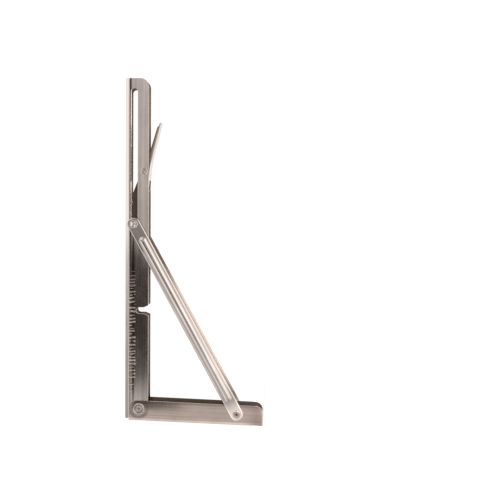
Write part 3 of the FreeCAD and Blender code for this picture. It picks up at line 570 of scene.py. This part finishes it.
def brushed_sheet(name, origin, along, color, shade_faces, face_shade, darkening, form=None, painted_light=None,
                  rough=0.07, mottle=0.5, shade_faces_rough=0.15):
    """Satin sheet steel, brushed along one direction, with uneven tone, pores and worn edges.

    The named faces get a painted face shade instead. From the local coordinates, one function
    gives that shade's colour, two give masks of painted darkening and painted light, and form
    gives the height of a shallow shape.
    """
    material, nodes, shader = new_material(name)
    local = local_vector(nodes, origin, along)
    fine = nodes.grain(local, *GRAIN_FINE)
    coarse = nodes.grain(local, *GRAIN_COARSE)
    cloud = nodes.grain(local, *GRAIN_CLOUD)
    pits = nodes.span(nodes.grain(local, *GRAIN_PORES), *PORES_SHOW)
    rounded, worn = edge_wear(nodes, SHEET_EDGE)

    # Colour: streaks and clouds, then pits, worn edges, painted face shade, painted light and
    # painted darkening
    tone = nodes.plus(nodes.times(cloud, mottle), nodes.times(fine, TONE_FINE))
    tone = nodes.span(nodes.plus(tone, nodes.times(coarse, TONE_COARSE)), *TONE_SPAN)
    base = nodes.mix(tone, *(scaled(color, shade) for shade in TONE_SHADES))
    base = nodes.cover(base, pits, PITS_COVER, scaled(color, PITS_SHADE))
    base = nodes.cover(base, worn, SHEET_WORN_COVER, scaled(color, SHEET_WORN_SHADE))
    # Faces that lie in shade get a painted shade colour in place of the steel's
    on_shade_faces = shade_faces_mask(nodes, local, *shade_faces)
    base = nodes.mix(on_shade_faces, base, face_shade(nodes, local))
    # Painted light, where the piece is made lighter
    if painted_light:
        base = nodes.mix(painted_light(nodes, local), base, scaled(color, PAINTED_LIGHT_SHADE))
    # Painted shade and painted dark reflections, where the piece's darkening mask gives them
    base = nodes.cover(base, darkening(nodes, local), PAINTED_DARK_COVER, PAINTED_DARK)
    nodes.link(base, shader.inputs["Base Color"])

    # Gloss: smeared along the brushing, duller on the faces with painted shade
    smear = nodes.plus(nodes.times(fine, 0.5), nodes.times(cloud, 0.5))
    dull = nodes.span(smear, *NOISE_MIDDLE, *(rough + stray for stray in ROUGH_STRAY))
    dull = nodes.plus(dull, nodes.times(on_shade_faces, shade_faces_rough))
    nodes.link(dull, shader.inputs["Roughness"])
    shader.inputs["Metallic"].default_value = 1.0
    shader.inputs["Anisotropic"].default_value = ANISOTROPY
    shader.inputs["Anisotropic Rotation"].default_value = ANISOTROPY_TURN
    direction = nodes.add("ShaderNodeVectorTransform", vector_type="VECTOR",
                          convert_from="OBJECT", convert_to="WORLD")
    direction.inputs[0].default_value = along
    nodes.link(direction.outputs[0], shader.inputs["Tangent"])

    # Relief: rounded edges, the shallow shape, then the grain and its pits
    normal = rounded
    if form:
        normal = nodes.bump(form(nodes, local), 1.0, 1.0, normal)
    height = nodes.plus(nodes.times(fine, RELIEF_FINE), nodes.times(coarse, RELIEF_COARSE))
    height = nodes.math("SUBTRACT", height, nodes.times(pits, RELIEF_PITS))
    normal = nodes.bump(height, *SHEET_RELIEF, normal)
    nodes.link(normal, shader.inputs["Normal"])
    return material


def turned_steel(name, origin, color, grooves):
    """Turned and riveted steel: fine rings about the axis, smudges, bright edges, painted shade in
    its grooves.
    """
    material, nodes, shader = new_material(name)
    local = local_vector(nodes, origin, Vector((1.0, 0.0, 0.0)))
    away = from_axle(nodes, local)
    turned = nodes.add("ShaderNodeCombineXYZ")
    nodes.link(away, turned.inputs["X"])
    nodes.link(nodes.axis(local, "Y"), turned.inputs["Y"])
    rings = nodes.noise(turned.outputs[0], *RINGS)
    smudge = nodes.noise(local, *SMUDGE)
    rounded, worn = edge_wear(nodes, TURNED_EDGE)

    tone = nodes.plus(nodes.times(rings, TONE_RINGS), nodes.times(smudge, TONE_SMUDGE))
    tone = nodes.span(tone, *NOISE_MIDDLE)
    base = nodes.mix(tone, *(scaled(color, shade) for shade in TURNED_SHADES))
    base = nodes.cover(base, worn, TURNED_WORN_COVER, scaled(color, TURNED_WORN_SHADE))
    # Painted shade in the heads' grooves and dimples
    for low, high, share in grooves:
        base = nodes.cover(base, nodes.within(away, low, high, GROOVE_SOFT), share, PAINTED_DARK)
    nodes.link(base, shader.inputs["Base Color"])
    nodes.link(nodes.span(smudge, *NOISE_MIDDLE, *TURNED_ROUGH), shader.inputs["Roughness"])
    shader.inputs["Metallic"].default_value = 1.0
    normal = nodes.bump(nodes.plus(rings, smudge), *TURNED_RELIEF, rounded)
    nodes.link(normal, shader.inputs["Normal"])
    return material


def moulded_plastic(name, color):
    """Matt moulded plastic with a fine grain."""
    material, nodes, shader = new_material(name)
    place = nodes.add("ShaderNodeTexCoord").outputs["Object"]
    grain = nodes.noise(place, *PLASTIC_GRAIN)
    cloud = nodes.span(nodes.noise(place, *PLASTIC_CLOUD), *NOISE_MIDDLE)
    base = nodes.mix(cloud, scaled(color, PLASTIC_SHADE), color)
    nodes.link(base, shader.inputs["Base Color"])
    nodes.link(nodes.span(grain, *NOISE_MIDDLE, *PLASTIC_ROUGH), shader.inputs["Roughness"])
    nodes.link(nodes.bump(grain, *PLASTIC_RELIEF), shader.inputs["Normal"])
    return material


def dress(names, material):
    """Gives CAD nodes their material."""
    for name in names:
        materials = frame["nodes"][name].data.materials
        materials.clear()
        materials.append(material)


def dress_sheets():
    """Materials of the folded and pressed sheets."""
    dress(("wall_plate",), brushed_sheet(
        "plate_steel", HINGE, PLATE_ALONG, STEEL_PLATE, SHADE_FACES_PLATE, clouded_shade(*FACE_SHADE_PLATE),
        plate_reflection_and_margins, form=plate_form))
    dress(("arm",), brushed_sheet(
        "arm_steel", HINGE, ARM_ALONG, STEEL_ARM, SHADE_FACES_ARM, clouded_shade(*FACE_SHADE_ARM),
        arm_painted_dark, form=arm_form, painted_light=arm_painted_highlight, rough=0.05))
    dress(("strut_front", "strut_back"), brushed_sheet(
        "strut_steel", SLIDE, STRUT_ALONG, STEEL_STRUT, SHADE_FACES_STRUT, strut_face_shade,
        strut_painted_shade, form=strut_form, painted_light=strut_painted_light, rough=0.075, mottle=0.3, shade_faces_rough=0.40))
    dress(("release_lever",), brushed_sheet(
        "lever_steel", PIVOT, LEVER_ALONG, STEEL_LEVER, SHADE_FACES_LEVER, clouded_shade(*FACE_SHADE_LEVER),
        lever_painted_shade, mottle=0.3))


def dress_turned():
    """Materials of the pins, rivets, spacers, spring and washers."""
    for names, at, color, grooves in (
        (("hinge_pin",), HINGE, STEEL_RIVET, GROOVES_HINGE),
        (("foot_pin", "foot_rivet_front", "foot_rivet_back"), FOOT, STEEL_RIVET, GROOVES_FOOT),
        (("slide_rivet_front", "slide_rivet_back", "slide_spacer_front", "slide_spacer_back"),
         SLIDE, STEEL_RIVET, GROOVES_SLIDE),
        (("lever_pin", "lever_spacer_front", "lever_spacer_back"),
         PIVOT, STEEL_RIVET, GROOVES_LEVER),
        (("lever_spring",), PIVOT, STEEL_SPRING, ()),
    ):
        dress(names, turned_steel(names[0] + "_steel", at, color, grooves))
    dress(("hinge_washer_front", "hinge_washer_back"),
          moulded_plastic("washer_plastic", WASHER_WHITE))


def add_spring():
    """The lever's spring, whose one leg stays on the arm while the other follows the lever: a
    fixed copy of the solid's mesh stands in for it, and the solid is hidden."""
    solid = frame["nodes"]["lever_spring"]
    mesh = solid.data.copy()
    mesh.transform(solid.matrix_world)
    wire = bpy.data.objects.new("spring_wire", mesh)
    scene.collection.objects.link(wire)
    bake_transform(wire)
    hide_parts("lever_spring")


def camera_matrix():
    """World matrix of the camera: its right, up and back axes, and its place."""
    yaw, pitch, roll = (math.radians(turn) for turn in (CAMERA_YAW, CAMERA_PITCH, CAMERA_ROLL))
    turns = (Matrix.Rotation(roll, 3, "Z") @ Matrix.Rotation(pitch, 3, "X")
             @ Matrix.Rotation(yaw, 3, "Y"))
    # The turns are told in axes that point down the wall, out from it and across it
    to_world = Matrix(((0, 1, 0), (0, 0, 1), (-1, 0, 0)))
    right, up, forward = (to_world @ row for row in turns)
    turned = Matrix((right, up, -forward)).transposed().to_4x4()
    turned.translation = CAMERA_AT
    return turned


def add_camera():
    """The camera at the photograph's viewing angle."""
    data = bpy.data.cameras.new("camera")
    data.lens = CAMERA_LENS
    data.sensor_width = CAMERA_SENSOR
    data.clip_start, data.clip_end = CAMERA_CLIP
    camera = bpy.data.objects.new("camera", data)
    scene.collection.objects.link(camera)
    camera.matrix_world = camera_matrix()
    scene.camera = camera


def floor_paper():
    """Pale paper that glows a little: evenly to the camera, and in a pool in the steel."""
    material, nodes, shader = new_material("floor_paper")
    shader.inputs["Roughness"].default_value = FLOOR_ROUGH
    path = nodes.add("ShaderNodeLightPath")
    place = nodes.add("ShaderNodeTexCoord").outputs["Object"]
    x, y = nodes.axis(place, "X"), nodes.axis(place, "Y")

    seen = nodes.span(nodes.measured("LENGTH", place), *SEEN_DISTANCE, *SEEN_GLOW)
    seen = nodes.times(path.outputs["Is Camera Ray"], seen)

    pool = nodes.measured("DISTANCE", place, POOL_MIDDLE)
    pool = nodes.span(pool, *POOL_DISTANCE, *POOL_GLOW, smooth=True)
    beside = nodes.times(nodes.span(x, *POOL_NEAR_WALL), nodes.span(x, *POOL_FAR_END))
    back = nodes.span(y, *BACK_DISTANCE, *BACK_GLOW, smooth=True)
    mirrored = nodes.plus(nodes.times(pool, beside), back)
    mirrored = nodes.times(path.outputs["Is Glossy Ray"], mirrored)

    paper = nodes.mix(path.outputs["Is Glossy Ray"], FLOOR_PAPER, FLOOR_MIRRORED)
    nodes.link(paper, shader.inputs["Base Color"])
    nodes.link(nodes.plus(seen, mirrored), shader.inputs["Emission Strength"])
    shader.inputs["Emission Color"].default_value = PAPER_WHITE
    return material


def add_floor():
    """A plain floor just under the object."""
    low, half = CAD_BOX[0].z - FLOOR_GAP, FLOOR_HALF
    corners = [(-half, -half, low), (half, -half, low), (half, half, low), (-half, half, low)]
    mesh = bpy.data.meshes.new("floor")
    mesh.from_pydata(corners, [], [(0, 1, 2, 3)])
    floor = bpy.data.objects.new("floor", mesh)
    scene.collection.objects.link(floor)
    floor.data.materials.append(floor_paper())


def spot_mask(nodes, look, middle, half, soft):
    """One inside an oval of directions, given by its middle and half size along X and Z."""
    shifted = nodes.vector_math("SUBTRACT", look, (middle[0], 0.0, middle[1])).outputs[0]
    flat = nodes.stretched(shifted, (1.0 / half[0], 0.0, 1.0 / half[1]))
    return nodes.span(nodes.measured("LENGTH", flat), 1.0 + soft, 1.0 - soft)


def add_world():
    """A studio with soft patches all round and dark shapes beside the camera, for the steel
    to mirror. The camera itself sees white paper."""
    world = bpy.data.worlds.new("studio")
    scene.world = world
    world.use_nodes = True
    nodes = Nodes(world.node_tree)
    output = nodes.add("ShaderNodeOutputWorld")
    look = nodes.add("ShaderNodeTexCoord").outputs["Generated"]
    shade = ROOM
    for direction, inner, outer, color in PATCHES:
        near = nodes.measured("DOT_PRODUCT", look, direction.normalized())
        inside = nodes.span(near, math.cos(math.radians(outer)), math.cos(math.radians(inner)))
        shade = nodes.mix(inside, shade, color)
    front = nodes.span(nodes.axis(look, "Y"), *DARK_FRONT)
    for middle, half, soft, share in DARK_SHAPES:
        dark = nodes.times(spot_mask(nodes, look, middle, half, soft), front)
        shade = nodes.cover(shade, dark, share, DARK)
    room = nodes.add("ShaderNodeBackground")
    nodes.link(shade, room.inputs["Color"])
    paper = nodes.add("ShaderNodeBackground")
    paper.inputs["Color"].default_value = PAPER_WHITE
    paper.inputs["Strength"].default_value = BACKDROP_STRENGTH
    path = nodes.add("ShaderNodeLightPath")
    mix = nodes.add("ShaderNodeMixShader")
    nodes.link(path.outputs["Is Camera Ray"], mix.inputs[0])
    nodes.link(room.outputs[0], mix.inputs[1])
    nodes.link(paper.outputs[0], mix.inputs[2])
    nodes.link(mix.outputs[0], output.inputs["Surface"])


def add_lamp():
    """One large soft lamp above the object, for the shadow on the floor. The steel doesn't
    mirror it."""
    data = bpy.data.lights.new("above", "AREA")
    data.shape = "SQUARE"
    data.size = LAMP_SIZE
    data.energy = LAMP_POWER
    data.color = LAMP_COLOR
    lamp = bpy.data.objects.new("above", data)
    scene.collection.objects.link(lamp)
    lamp.location = LAMP_AT
    lamp.visible_glossy = False
    lamp.rotation_mode = "QUATERNION"
    lamp.rotation_quaternion = (LAMP_AIM - LAMP_AT).to_track_quat("-Z", "Y")


dress_sheets()
dress_turned()
add_spring()
add_camera()
add_floor()
add_world()
add_lamp()
scene.view_settings.view_transform = "Standard"
